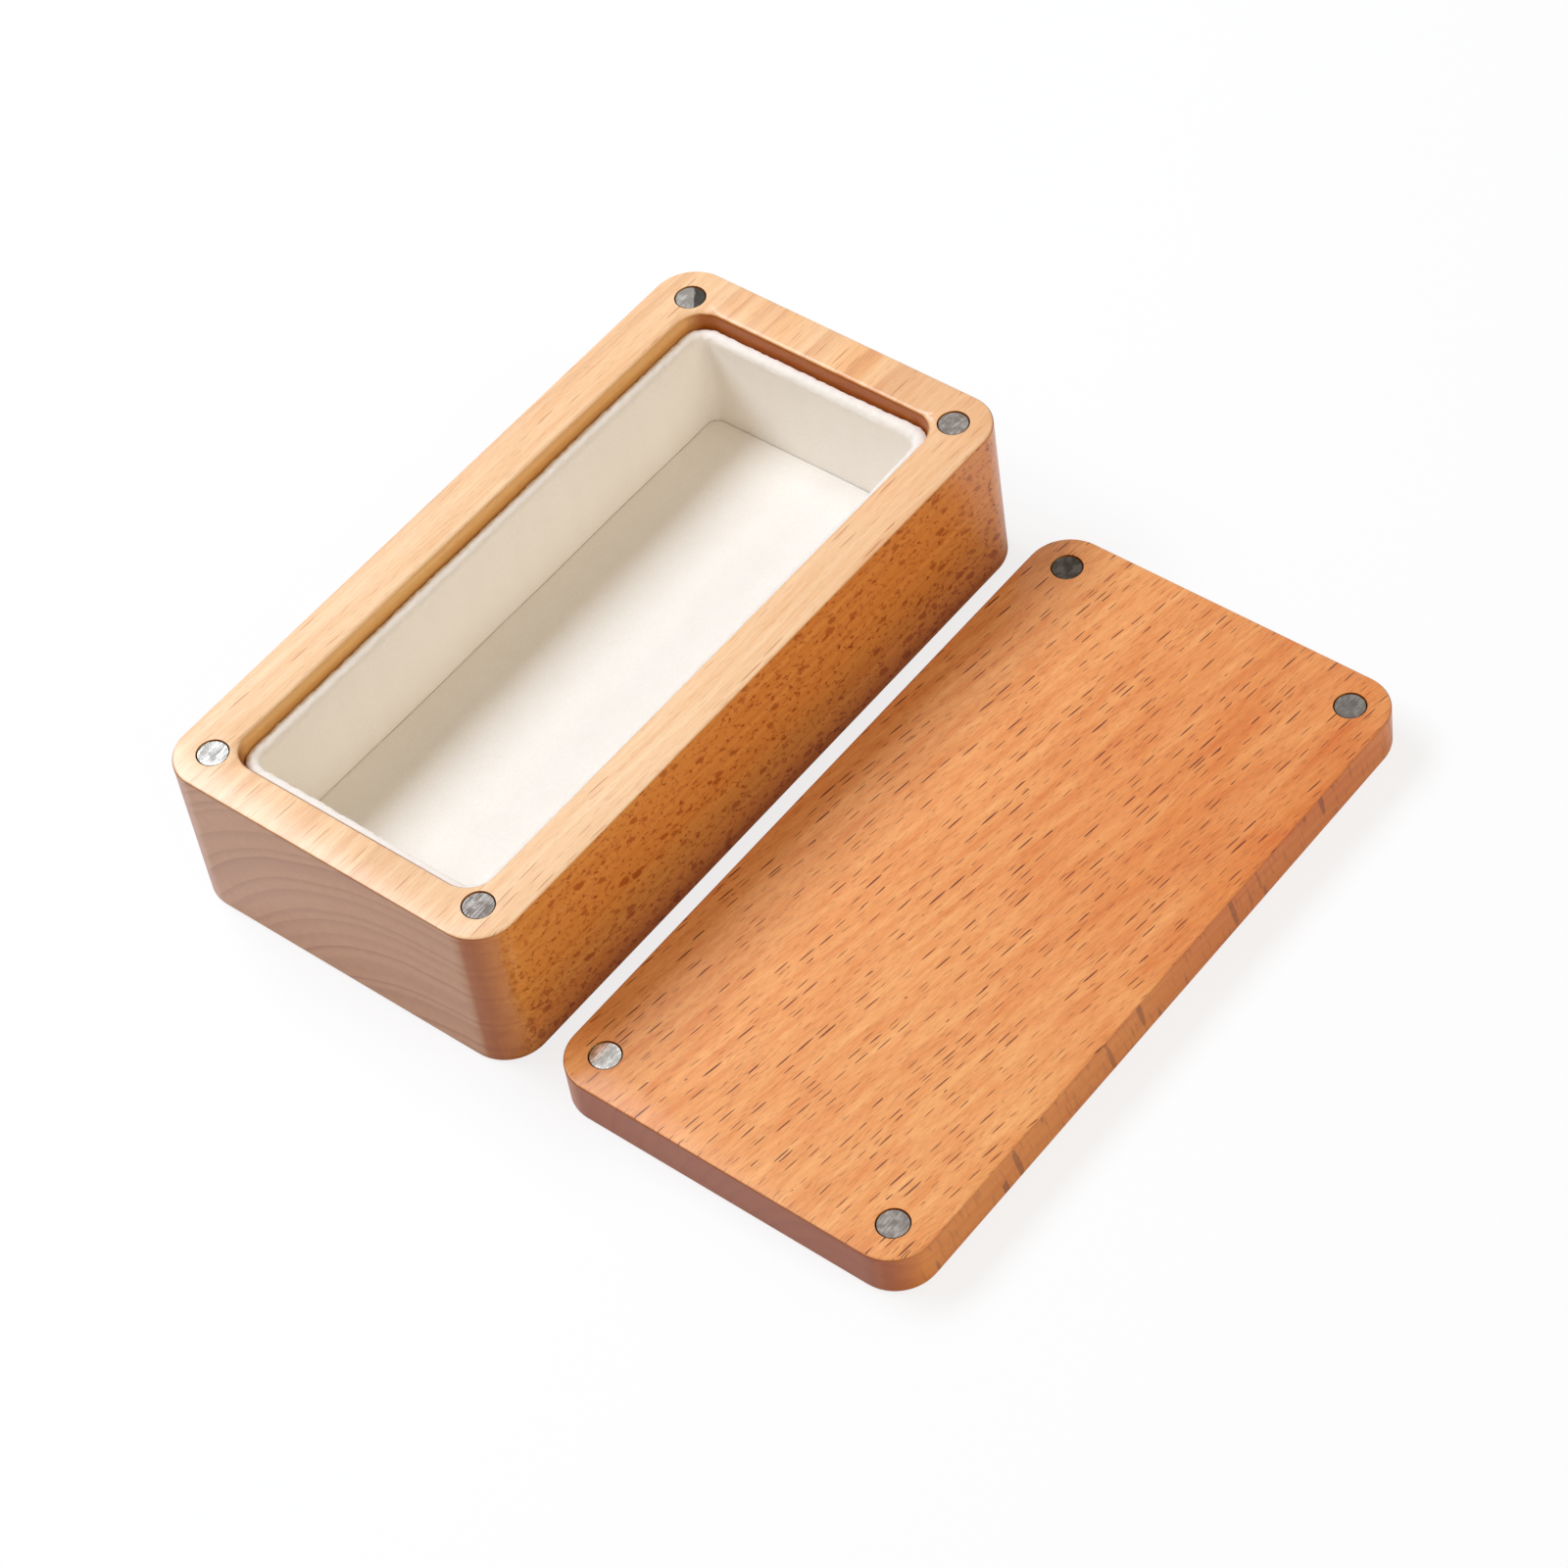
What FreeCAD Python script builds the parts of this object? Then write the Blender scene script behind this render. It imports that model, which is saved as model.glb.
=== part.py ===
import FreeCAD, Part
import Sketcher
import math
import os

# Beech jewelry box with a loose magnetic lid and a velvet-lined tray, in millimetres.
# The origin is the centre of the box's underside, with X along the box, Y across it and Z up.
# The box stands open. The lid lies beside it on the -Y side, underside up, and turns over onto the rim.

SIZES = {
    # Beech block and lid
    "box_length": 150.0,
    "box_width": 78.0,
    "body_height": 35.0,
    "lid_thickness": 9.8,
    "corner_radius": 8.3,
    # Milled pocket
    "end_wall": 8.9,
    "side_wall": 9.9,
    "floor_thickness": 6.7,
    "pocket_radius": 5.5,
    # Eased edges: rounded over on the outer faces, only broken on the two faces that meet, most at the pocket
    "outer_edge_round": 1.0,
    "mating_edge_chamfer": 0.45,
    "pocket_edge_chamfer": 0.8,
    # Disc magnets and their flat-bottomed holes
    "magnet_diameter": 6.0,
    "magnet_thickness": 3.0,
    "magnet_edge_chamfer": 0.2,
    "magnet_inset": 7.65,
    "magnet_clearance": 0.1,
    "magnet_recess": 0.2,
    # Lining: velvet wrapped over card, glued to the pocket's walls and floor
    "card_thickness": 1.2,
    "velvet_thickness": 0.75,
    "velvet_turn_in": 8.0,
    "glue_gap": 0.2,
    "mitre_gap": 0.1,
    "lining_drop": 3.7,
    "lining_rim_round": 1.2,
    "least_crease_radius": 0.5,
    # Floor pad between the wall panels
    "pad_gap": 0.4,
    "pad_edge_round": 0.9,
    # Free space between the box and the lid where it lies
    "lid_gap": 8.4,
}

# Sizes that follow from the driving ones, as expressions of the sheet.
POCKET_LENGTH = "(Sizes.box_length - 2 * Sizes.end_wall)"
POCKET_WIDTH = "(Sizes.box_width - 2 * Sizes.side_wall)"
MAGNET_X = "(Sizes.box_length / 2 - Sizes.magnet_inset)"
MAGNET_Y = "(Sizes.box_width / 2 - Sizes.magnet_inset)"
MAGNET_SEAT = "(Sizes.magnet_thickness + Sizes.magnet_recess)"
PANEL = "(Sizes.card_thickness + 2 * Sizes.velvet_thickness)"
LINING = f"({PANEL} + Sizes.glue_gap)"
WALL_HEIGHT = "(Sizes.body_height - Sizes.floor_thickness - Sizes.lining_drop)"
CREASE = f"max(Sizes.pocket_radius - {LINING}; Sizes.least_crease_radius)"
MITRE_ROOM = "(sqrt(2) * Sizes.mitre_gap)"
PAD_LENGTH = f"({POCKET_LENGTH} - 2 * ({LINING} + Sizes.pad_gap))"
PAD_WIDTH = f"({POCKET_WIDTH} - 2 * ({LINING} + Sizes.pad_gap))"
PAD_CORNER = f"max({CREASE} - Sizes.pad_gap; Sizes.least_crease_radius)"
LID_SHIFT = "(Sizes.box_width + Sizes.lid_gap)"

SAME = 1e-4  # two lengths this close are one
ROUND_SHARE = 0.45  # the most of a panel's thickness that one rounded edge may take
POINTS = ("edge", "start", "end", "centre")  # places on a line or an arc, which Sketcher counts from 0
AXES = ("y axis", "x axis")  # a sketch's own axes, counted up to -1, each with its start at the origin

doc = FreeCAD.newDocument("jewelry_box")
sheet = doc.addObject("Spreadsheet::Sheet", "Sizes")
for row, (alias, number) in enumerate(SIZES.items(), 1):
    sheet.set(f"A{row}", alias)
    sheet.set(f"B{row}", str(number))
    sheet.setAlias(f"B{row}", alias)
doc.recompute()


def value(expression):
    """The number that an expression of the sheet's sizes stands for."""
    return float(sheet.evalExpression(expression))


def limited(radius, thickness):
    """Expression for an edge radius or chamfer that its wall can hold."""
    return f"min({radius}; {ROUND_SHARE} * {thickness})"


def new_body(label):
    body = doc.addObject("PartDesign::Body", label)
    body.Label = label
    return body


def sketch_on(body, name, lift=None):
    """A sketch on the body's own XY plane, or raised above it by an expression."""
    sketch = body.newObject("Sketcher::SketchObject", name)
    plane = next(item for item in body.Origin.OriginFeatures if item.Role == "XY_Plane")
    sketch.AttachmentSupport = [(plane, "")]
    sketch.MapMode = "FlatFace"
    if lift:
        sketch.setExpression("AttachmentOffset.Base.z", lift)
    return sketch


def relate(sketch, kind, *places):
    """Adds a constraint between places, each an element's number or an axis, with a point on it."""
    numbers = {name: index for index, name in enumerate(POINTS)}
    numbers.update({name: index - len(AXES) for index, name in enumerate(AXES)})
    return sketch.addConstraint(Sketcher.Constraint(kind, *(numbers.get(place, place) for place in places)))


def dimension(sketch, expression, kind, *places):
    """A dimension tied to the sheet's sizes."""
    index = relate(sketch, kind, *places, value(expression))
    sketch.setExpression(f"Constraints[{index}]", expression)


def line(x_from, y_from, x_to, y_to):
    return Part.LineSegment(FreeCAD.Vector(x_from, y_from, 0), FreeCAD.Vector(x_to, y_to, 0))


def arc(x, y, radius, from_angle, to_angle):
    circle = Part.Circle(FreeCAD.Vector(x, y, 0), FreeCAD.Vector(0, 0, 1), radius)
    return Part.ArcOfCircle(circle, math.radians(from_angle), math.radians(to_angle))


def rounded_rectangle(sketch, length, width, radius):
    """Rectangle about the origin with an arc at each corner."""
    bend = value(radius)
    x_out, y_out = value(length) / 2, value(width) / 2
    x_in, y_in = x_out - bend, y_out - bend
    sides = [
        line(-x_in, -y_out, x_in, -y_out),
        line(x_out, -y_in, x_out, y_in),
        line(x_in, y_out, -x_in, y_out),
        line(-x_out, y_in, -x_out, -y_in),
    ]
    corners = [
        arc(x_in, -y_in, bend, 270, 360),
        arc(x_in, y_in, bend, 0, 90),
        arc(-x_in, y_in, bend, 90, 180),
        arc(-x_in, -y_in, bend, 180, 270),
    ]
    sketch.addGeometry(sides + corners)
    for side in range(4):
        corner = 4 + side
        relate(sketch, "Tangent", side, "end", corner, "start")
        relate(sketch, "Tangent", corner, "end", (side + 1) % 4, "start")
        relate(sketch, "Horizontal" if side % 2 == 0 else "Vertical", side)
        if side:
            relate(sketch, "Equal", 4, corner)
    relate(sketch, "Symmetric", 7, "centre", 5, "centre", "x axis", "start")
    dimension(sketch, radius, "Radius", 4)
    dimension(sketch, length, "DistanceX", 3, "start", 1, "start")
    dimension(sketch, width, "DistanceY", 0, "start", 2, "start")


def strip(sketch, length, low, width):
    """Rectangle centred on the Y axis that starts at a distance low from the X axis."""
    x_end, y_low = value(length) / 2, value(low)
    y_high = y_low + value(width)
    sketch.addGeometry([
        line(-x_end, y_low, x_end, y_low),
        line(x_end, y_low, x_end, y_high),
        line(x_end, y_high, -x_end, y_high),
        line(-x_end, y_high, -x_end, y_low),
    ])
    for side in range(4):
        relate(sketch, "Coincident", side, "end", (side + 1) % 4, "start")
    relate(sketch, "Symmetric", 0, "start", 0, "end", "y axis")
    relate(sketch, "Horizontal", 2)
    relate(sketch, "Vertical", 1)
    relate(sketch, "Vertical", 3)
    dimension(sketch, length, "DistanceX", 0, "start", 0, "end")
    dimension(sketch, low, "DistanceY", "x axis", "start", 0, "start")
    dimension(sketch, width, "DistanceY", 1, "start", 1, "end")


def corner_circles(sketch, x, y, diameter):
    """Four equal circles, one in each quarter of the plan."""
    quarters = [(1, 1), (-1, 1), (1, -1), (-1, -1)]
    for side, end in quarters:
        centre = FreeCAD.Vector(side * value(x), end * value(y), 0)
        sketch.addGeometry(Part.Circle(centre, FreeCAD.Vector(0, 0, 1), value(diameter) / 2))
    for copy in (1, 2, 3):
        relate(sketch, "Equal", 0, copy)
    relate(sketch, "Symmetric", 0, "centre", 1, "centre", "y axis")
    relate(sketch, "Symmetric", 0, "centre", 2, "centre", "x axis")
    relate(sketch, "Symmetric", 0, "centre", 3, "centre", "x axis", "start")
    dimension(sketch, diameter, "Diameter", 0)
    dimension(sketch, x, "DistanceX", "x axis", "start", 0, "centre")
    dimension(sketch, y, "DistanceY", "x axis", "start", 0, "centre")


def flat_length(run):
    """Expression for the flat stretch of a wall panel's back, between its bends, on a wall of length run."""
    return f"({run} - 2 * Sizes.pocket_radius - {MITRE_ROOM})"


def wall_plan(sketch, run, reach):
    """Plan of a wall panel: flat, bent into the pocket's corner at each end and mitred there at 45 degrees.

    run is the pocket's size along the wall and reach the distance from the middle to the wall. Each mitre
    runs through the centre of its bends.
    """
    front = f"({reach} - {LINING})"
    back = f"({reach} - Sizes.glue_gap)"
    bend = "(Sizes.pocket_radius - Sizes.glue_gap)"
    front_length = f"({run} - 2 * {LINING} - 2 * {CREASE} - {MITRE_ROOM})"
    back_length = flat_length(run)

    r_front, r_back = value(CREASE), value(bend)
    x_front, x_back = value(front_length) / 2, value(back_length) / 2
    y_front, y_back = value(front), value(back)
    c_front, c_back = y_front - r_front, y_back - r_back
    slope = math.sqrt(0.5)
    near = (x_front + slope * r_front, c_front + slope * r_front)
    far = (x_back + slope * r_back, c_back + slope * r_back)
    sketch.addGeometry([
        line(-x_front, y_front, x_front, y_front),
        arc(x_front, c_front, r_front, 45, 90),
        line(*near, *far),
        arc(x_back, c_back, r_back, 45, 90),
        line(x_back, y_back, -x_back, y_back),
        arc(-x_back, c_back, r_back, 90, 135),
        line(-far[0], far[1], -near[0], near[1]),
        arc(-x_front, c_front, r_front, 90, 135),
    ])
    relate(sketch, "Tangent", 0, "end", 1, "end")
    relate(sketch, "Coincident", 1, "start", 2, "start")
    relate(sketch, "Coincident", 2, "end", 3, "start")
    relate(sketch, "Tangent", 3, "end", 4, "start")
    relate(sketch, "Tangent", 4, "end", 5, "start")
    relate(sketch, "Coincident", 5, "end", 6, "start")
    relate(sketch, "Coincident", 6, "end", 7, "end")
    relate(sketch, "Tangent", 7, "start", 0, "start")
    relate(sketch, "Symmetric", 0, "start", 0, "end", "y axis")
    relate(sketch, "Symmetric", 4, "start", 4, "end", "y axis")
    relate(sketch, "Equal", 1, 7)
    relate(sketch, "Equal", 3, 5)
    relate(sketch, "Angle", 2, math.radians(45))
    relate(sketch, "Perpendicular", 2, 6)
    relate(sketch, "PointOnObject", 1, "centre", 2)
    relate(sketch, "PointOnObject", 7, "centre", 6)
    dimension(sketch, CREASE, "Radius", 1)
    dimension(sketch, bend, "Radius", 3)
    dimension(sketch, front_length, "DistanceX", 0, "start", 0, "end")
    dimension(sketch, back_length, "DistanceX", 4, "end", 4, "start")
    dimension(sketch, front, "DistanceY", "x axis", "start", 0, "start")
    dimension(sketch, back, "DistanceY", "x axis", "start", 4, "start")


def pad(body, name, sketch, height):
    feature = body.newObject("PartDesign::Pad", name)
    feature.Profile = sketch
    feature.setExpression("Length", height)
    doc.recompute()


def pocket(body, name, sketch, depth, upward=False):
    """Cuts downward from the sketch, or upward into a panel's back."""
    before = body.Shape.Volume
    feature = body.newObject("PartDesign::Pocket", name)
    feature.Profile = sketch
    feature.Reversed = upward
    feature.setExpression("Length", depth)
    doc.recompute()
    if body.Shape.Volume > before - SAME:
        raise RuntimeError(f"{body.Label}: {name} cuts nothing")


def round_edges(body, name, radius, edges):
    base = body.Tip
    feature = body.newObject("PartDesign::Fillet", name)
    feature.Base = (base, edges)
    feature.setExpression("Radius", radius)
    doc.recompute()


def chamfer_edges(body, name, size, edges):
    base = body.Tip
    feature = body.newObject("PartDesign::Chamfer", name)
    feature.Base = (base, edges)
    feature.setExpression("Size", size)
    doc.recompute()


def edge_names(shape, wanted):
    return [f"Edge{index}" for index, edge in enumerate(shape.Edges, 1) if wanted(edge)]


def lies_at(shape, height):
    """True for an edge or a face that lies flat at a height."""
    box = shape.BoundBox
    return abs(box.ZMin - height) < SAME and abs(box.ZMax - height) < SAME


def edges_at(body, height):
    return edge_names(body.Tip.Shape, lambda edge: lies_at(edge, height))


def is_slanted(edge):
    """True for a straight edge that runs at an angle to the X axis, as a mitre does."""
    return isinstance(edge.Curve, Part.Line) and abs(edge.Curve.Direction.y) > SAME


def mouth_edges(body, height):
    """The edges round the hole in the body's flat face at a height."""
    shape = body.Tip.Shape
    rim = next(face for face in shape.Faces if len(face.Wires) > 1 and lies_at(face, height))
    mouth = [edge for wire in rim.Wires if not wire.isSame(rim.OuterWire) for edge in wire.Edges]
    return edge_names(shape, lambda edge: any(edge.isSame(other) for other in mouth))


def beech_blank(label, height):
    """Beech cut to the box's outline, with its outer face down and the face that meets the other up."""
    body = new_body(label)
    outline = sketch_on(body, f"{label}_outline")
    rounded_rectangle(outline, "Sizes.box_length", "Sizes.box_width", "Sizes.corner_radius")
    pad(body, f"{label}_blank", outline, height)
    round_edges(body, f"{label}_outer_edge", "Sizes.outer_edge_round", edges_at(body, 0))
    chamfer_edges(body, f"{label}_mating_edge", "Sizes.mating_edge_chamfer", edges_at(body, value(height)))
    return body


def bore_magnet_holes(body, height):
    """Flat-bottomed holes in the four corners of the upper face."""
    sketch = sketch_on(body, f"{body.Label}_hole_centres", height)
    bore = "(Sizes.magnet_diameter + 2 * Sizes.magnet_clearance)"
    corner_circles(sketch, MAGNET_X, MAGNET_Y, bore)
    doc.recompute()
    before = body.Shape.Volume
    hole = body.newObject("PartDesign::Hole", f"{body.Label}_magnet_holes")
    hole.Profile = sketch
    hole.DepthType = "Dimension"
    hole.DrillPoint = "Flat"
    hole.setExpression("Diameter", bore)
    hole.setExpression("Depth", MAGNET_SEAT)
    doc.recompute()
    if body.Shape.Volume > before - SAME:
        raise RuntimeError(f"{body.Label}: the magnet holes cut nothing")


def box_body():
    """The block with its milled pocket."""
    body = beech_blank("box_body", "Sizes.body_height")
    mouth = sketch_on(body, "pocket_outline", "Sizes.body_height")
    rounded_rectangle(mouth, POCKET_LENGTH, POCKET_WIDTH, "Sizes.pocket_radius")
    pocket(body, "milled_pocket", mouth, "Sizes.body_height - Sizes.floor_thickness")
    edges = mouth_edges(body, value("Sizes.body_height"))
    chamfer_edges(body, "pocket_edge", "Sizes.pocket_edge_chamfer", edges)
    bore_magnet_holes(body, "Sizes.body_height")
    return body


def lid_board():
    """The lid, lying on its outer face beside the box."""
    body = beech_blank("lid_board", "Sizes.lid_thickness")
    bore_magnet_holes(body, "Sizes.lid_thickness")
    body.setExpression("Placement.Base.y", f"-{LID_SHIFT}")
    return body


def magnet(label, x, y, mating_height):
    """A plated disc on the bottom of its hole, its free edge broken, just below the face at mating_height."""
    body = new_body(label)
    outline = sketch_on(body, f"{label}_outline")
    radius = value("Sizes.magnet_diameter / 2")
    outline.addGeometry(Part.Circle(FreeCAD.Vector(), FreeCAD.Vector(0, 0, 1), radius))
    relate(outline, "Coincident", 0, "centre", "x axis", "start")
    dimension(outline, "Sizes.magnet_diameter", "Diameter", 0)
    pad(body, f"{label}_disc", outline, "Sizes.magnet_thickness")
    chamfer = limited("Sizes.magnet_edge_chamfer", "Sizes.magnet_thickness")
    chamfer_edges(body, f"{label}_edge", chamfer, edges_at(body, value("Sizes.magnet_thickness")))
    body.setExpression("Placement.Base.x", x)
    body.setExpression("Placement.Base.y", y)
    body.setExpression("Placement.Base.z", f"{mating_height} - {MAGNET_SEAT}")
    return body


def magnets():
    """Four magnets in the rim and, named for the one that each meets, four in the lid."""
    made = []
    for side, x_sign in (("left", "-"), ("right", "")):
        for end, rim_sign, lid_sign in (("front", "-", "+"), ("back", "", "-")):
            x = f"{x_sign}{MAGNET_X}"
            lid_y = f"-{LID_SHIFT} {lid_sign} {MAGNET_Y}"
            made.append(magnet(f"rim_magnet_{end}_{side}", x, f"{rim_sign}{MAGNET_Y}", "Sizes.body_height"))
            made.append(magnet(f"lid_magnet_{end}_{side}", x, lid_y, "Sizes.lid_thickness"))
    return made


def stand_on_pocket_floor(body, turn=0):
    """Turns a lining piece about Z to its wall and sets it on the pocket's floor."""
    body.Placement = FreeCAD.Placement(FreeCAD.Vector(), FreeCAD.Rotation(FreeCAD.Vector(0, 0, 1), turn))
    body.setExpression("Placement.Base.z", "Sizes.floor_thickness")


def wall_panel(wall, run, reach, turn):
    """A wall's card and the velvet that wraps its front, top and ends and turns in behind it.

    Both are drawn for the wall on the +Y side and turned about Z by the angle turn.
    """
    card_length = flat_length(run)
    card_front = f"({reach} - {LINING} + Sizes.velvet_thickness)"
    card_back = f"({card_front} + Sizes.card_thickness)"
    card_height = f"({WALL_HEIGHT} - Sizes.velvet_thickness)"

    cover = new_body(f"{wall}_wall_cover")
    plan = sketch_on(cover, f"{wall}_cover_plan")
    wall_plan(plan, run, reach)
    pad(cover, f"{wall}_cover_panel", plan, WALL_HEIGHT)
    top = value(WALL_HEIGHT)
    rim = edge_names(cover.Tip.Shape, lambda edge: lies_at(edge, top) and not is_slanted(edge))
    round_edges(cover, f"{wall}_cover_rim", limited("Sizes.lining_rim_round", PANEL), rim)
    slot = sketch_on(cover, f"{wall}_card_slot_plan")
    strip(slot, card_length, card_front, "Sizes.card_thickness")
    pocket(cover, f"{wall}_card_slot", slot, card_height, upward=True)
    # The cut that bares the card runs out past the panel's back.
    bare = sketch_on(cover, f"{wall}_bare_back_plan")
    strip(bare, f"({card_length} - 2 * Sizes.velvet_turn_in)", card_back, PANEL)
    pocket(cover, f"{wall}_bare_back", bare, f"{WALL_HEIGHT} - Sizes.velvet_turn_in", upward=True)

    card = new_body(f"{wall}_wall_card")
    sheet_plan = sketch_on(card, f"{wall}_card_plan")
    strip(sheet_plan, card_length, card_front, "Sizes.card_thickness")
    pad(card, f"{wall}_card_sheet", sheet_plan, card_height)

    for piece in (cover, card):
        stand_on_pocket_floor(piece, turn)
    return [cover, card]


def floor_pad():
    """The floor's card and the velvet that wraps it and turns in beneath it."""
    card_length = f"({PAD_LENGTH} - 2 * Sizes.velvet_thickness)"
    card_width = f"({PAD_WIDTH} - 2 * Sizes.velvet_thickness)"
    card_corner = f"max({PAD_CORNER} - Sizes.velvet_thickness; Sizes.least_crease_radius)"

    cover = new_body("floor_cover")
    plan = sketch_on(cover, "floor_cover_plan")
    rounded_rectangle(plan, PAD_LENGTH, PAD_WIDTH, PAD_CORNER)
    pad(cover, "floor_cover_pad", plan, PANEL)
    top = edges_at(cover, value(PANEL))
    round_edges(cover, "floor_cover_edge", limited("Sizes.pad_edge_round", PANEL), top)
    nest = sketch_on(cover, "floor_card_nest_plan", "Sizes.velvet_thickness")
    rounded_rectangle(nest, card_length, card_width, card_corner)
    pocket(cover, "floor_card_nest", nest, "Sizes.card_thickness", upward=True)
    bare = sketch_on(cover, "floor_bare_back_plan")
    bare_length = f"({card_length} - 2 * Sizes.velvet_turn_in)"
    bare_width = f"({card_width} - 2 * Sizes.velvet_turn_in)"
    rounded_rectangle(bare, bare_length, bare_width, card_corner)
    pocket(cover, "floor_bare_back", bare, "Sizes.velvet_thickness", upward=True)
    stand_on_pocket_floor(cover)

    card = new_body("floor_card")
    card_plan = sketch_on(card, "floor_card_plan", "Sizes.velvet_thickness")
    rounded_rectangle(card_plan, card_length, card_width, card_corner)
    pad(card, "floor_card_sheet", card_plan, "Sizes.card_thickness")
    stand_on_pocket_floor(card)
    return [cover, card]


def lining():
    """Four wall panels, mitred at the pocket's corners, and the floor pad between them."""
    long_reach = f"({POCKET_WIDTH} / 2)"
    short_reach = f"({POCKET_LENGTH} / 2)"
    made = wall_panel("back", POCKET_LENGTH, long_reach, 0)
    made += wall_panel("left", POCKET_WIDTH, short_reach, 90)
    made += wall_panel("front", POCKET_LENGTH, long_reach, 180)
    made += wall_panel("right", POCKET_WIDTH, short_reach, 270)
    return made + floor_pad()


pieces = [box_body(), lid_board()] + magnets() + lining()
doc.recompute()

for item in doc.Objects:
    if {"Invalid", "Error"} & set(item.State):
        raise RuntimeError(f"{item.Label} failed: {item.State}")
for piece in pieces:
    shape = piece.Shape
    if shape.isNull() or not shape.isValid() or len(shape.Solids) != 1:
        raise RuntimeError(f"{piece.Label} is not one valid solid")

os.makedirs("parts", exist_ok=True)
for piece in pieces:
    piece.Shape.exportStep(f"parts/{piece.Label}.step")
    print(f"{piece.Label}: {piece.Shape.Volume:.1f} mm3")
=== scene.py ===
"""Looks of a beech jewelry box with a loose magnetic lid and a velvet-lined tray.

Sizes in the classes are millimetres. Blender's own lengths are metres, in the parts' frame.
"""

from __future__ import annotations

import logging
import math
from dataclasses import dataclass
from enum import Enum

import bpy
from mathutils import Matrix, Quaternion, Vector, noise


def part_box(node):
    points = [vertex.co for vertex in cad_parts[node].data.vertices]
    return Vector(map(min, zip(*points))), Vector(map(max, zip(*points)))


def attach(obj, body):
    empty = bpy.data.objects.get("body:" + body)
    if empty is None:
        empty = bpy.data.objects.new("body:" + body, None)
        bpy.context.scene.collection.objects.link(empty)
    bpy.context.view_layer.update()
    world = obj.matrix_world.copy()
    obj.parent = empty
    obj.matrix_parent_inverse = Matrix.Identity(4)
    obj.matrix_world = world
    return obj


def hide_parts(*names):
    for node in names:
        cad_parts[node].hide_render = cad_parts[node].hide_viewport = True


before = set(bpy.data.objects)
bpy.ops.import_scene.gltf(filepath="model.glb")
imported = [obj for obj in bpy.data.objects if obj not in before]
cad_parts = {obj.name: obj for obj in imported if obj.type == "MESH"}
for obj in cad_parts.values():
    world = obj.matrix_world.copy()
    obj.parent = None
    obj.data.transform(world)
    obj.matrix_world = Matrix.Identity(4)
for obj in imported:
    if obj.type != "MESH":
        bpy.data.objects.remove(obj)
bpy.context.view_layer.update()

MM = 0.001
SHARP_FROM = 50.0
BOX_BODY = "box"
LOG = logging.getLogger("jewelry_box")

Colour = tuple[float, float, float, float]
Point = tuple[float, float, float]
Flat = tuple[float, float]
Tree = bpy.types.NodeTree
Node = bpy.types.Node
Material = bpy.types.Material
Piece = bpy.types.Object

# Most of Blender's noise lies between these two.
NOISE_SPAN: Flat = (0.3, 0.7)
FADE_OUT: Flat = (1.0, 0.0)


class Slot(Enum):
    """The finishes that the parts are listed with."""

    BOX_BEECH = "box_beech"
    LID_BEECH = "lid_beech"
    NICKEL = "nickel"
    VELVET = "velvet"
    CARD = "card"


class Wall(Enum):
    """A wall of the tray, with its quarter turns from the back wall."""

    BACK = ("back", 0)
    LEFT = ("left", 1)
    FRONT = ("front", 2)
    RIGHT = ("right", 3)

    @property
    def label(self) -> str:
        """The wall's name in the parts' names."""
        return self.value[0]

    @property
    def turns(self) -> int:
        """Quarter turns about Z from the back wall."""
        return self.value[1]


def linear(code: str) -> Colour:
    """Turns an sRGB hex colour to linear light.

    Args:
        code: The colour as #RRGGBB.

    Returns:
        Linear red, green and blue, with an alpha of 1.
    """
    parts = [int(code[i:i + 2], 16) / 255 for i in (1, 3, 5)]
    return (*(c / 12.92 if c <= 0.04045 else ((c + 0.055) / 1.055) ** 2.4 for c in parts), 1.0)


def set_inputs(tree: Tree, node: Node, inputs: dict) -> None:
    """Gives a node's inputs their values.

    Args:
        tree: The tree that the node is in.
        node: The node.
        inputs: For each input's name or number, a plain value, an output, or a node, which gives its first
            live output.
    """
    for key, value in inputs.items():
        if isinstance(value, Node):
            value = next(output for output in value.outputs if output.enabled)
        if isinstance(value, bpy.types.NodeSocket):
            tree.links.new(value, node.inputs[key])
        else:
            node.inputs[key].default_value = value


def add_node(tree: Tree, kind: str, inputs: dict, **settings: object) -> Node:
    """Adds a node with its settings and links.

    Args:
        tree: The tree to add it to.
        kind: Blender's name for the node, without the word ShaderNode.
        inputs: What set_inputs takes.
        **settings: The node's own properties.

    Returns:
        The new node.
    """
    node = tree.nodes.new("ShaderNode" + kind)
    for name, value in settings.items():
        setattr(node, name, value)
    set_inputs(tree, node, inputs)
    return node


def limits(end: str, pair: Flat) -> dict[str, float]:
    """The inputs for the two limits of a mapped range, at its From or its To end."""
    return {f"{end} Min": pair[0], f"{end} Max": pair[1]}


def new_material(name: str) -> tuple[Material, Node]:
    """Makes a material with a Principled shader.

    Args:
        name: What the material is.

    Returns:
        The material and its shader.
    """
    material = bpy.data.materials.new(name)
    material.use_nodes = True
    return material, material.node_tree.nodes["Principled BSDF"]


@dataclass(frozen=True)
class CutLook:
    """What one cut through the timber shows.

    colour is the early wood's, and the rest are shares of full strength.
    """

    colour: str
    ring: float
    fleck: float
    fibre: float

    def streak(self, share: float) -> Colour:
        """The colour of a paler or darker streak. Red changes least, so that dark streaks are redder."""
        return tuple(c * (1 + share * part) for c, part in zip(linear(self.colour), (0.4, 1.0, 1.6, 0.0)))


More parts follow.
